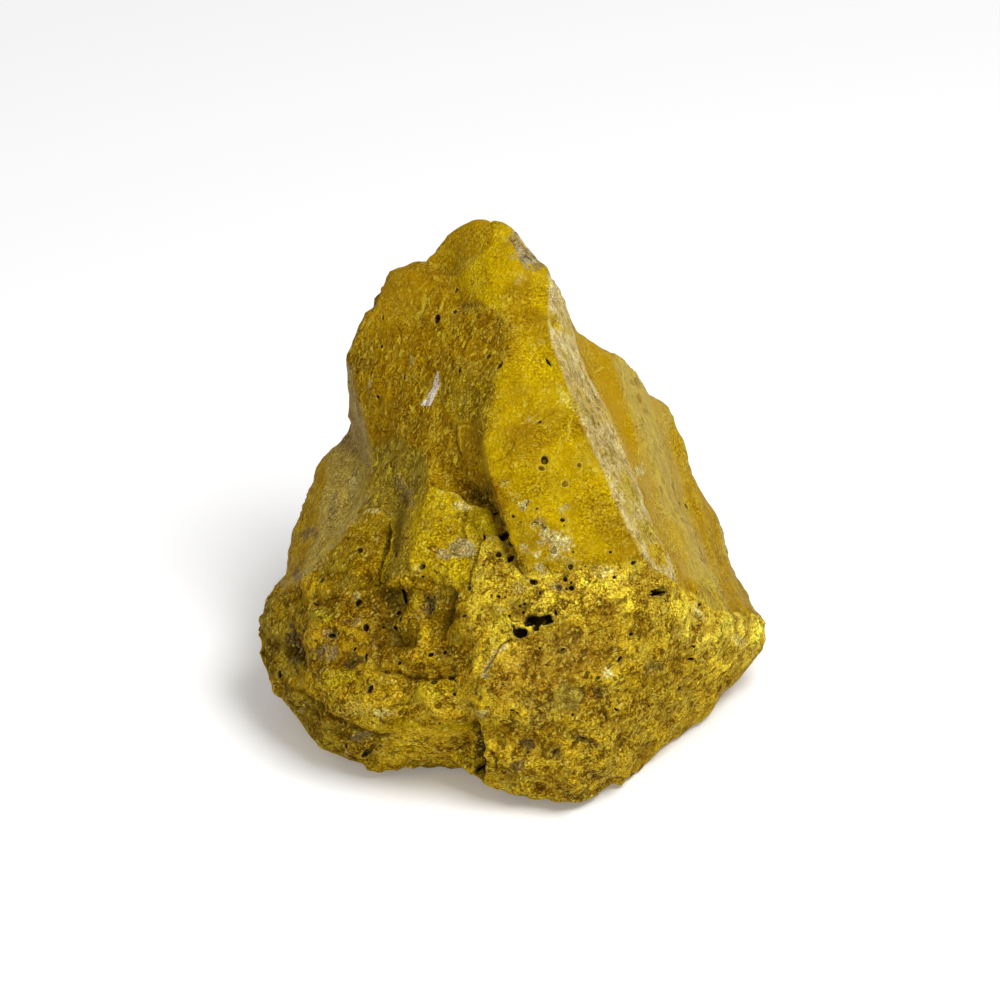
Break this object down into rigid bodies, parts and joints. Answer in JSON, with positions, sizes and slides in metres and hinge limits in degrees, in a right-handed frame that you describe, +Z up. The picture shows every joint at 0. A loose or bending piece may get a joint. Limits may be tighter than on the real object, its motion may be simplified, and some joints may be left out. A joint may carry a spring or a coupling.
{
  "type": "raw topaz stone",
  "caption": "Palm-sized lump of rough opaque mustard-yellow stone with a tall leaning front face, cut bed edges on its flanks and a pitted crumbly foot; rests on a flat broken face.",
  "frame": {"origin": "centre of the bounding box's bottom, on the ground under the stone", "axes": "+Z up from the face the stone rests on, -Y out of the tall leaning front face, +X to the right of that face"},
  "size_m": [0.0734, 0.0738, 0.0672],
  "materials": {
    "stone": "waxy opaque mustard yellow, paler and greyer along the cut bed edges, matte and grainy brown on the crumbly foot"
  },
  "bodies": {
    "root": {"stone": "stone"}
  },
  "joints": []
}
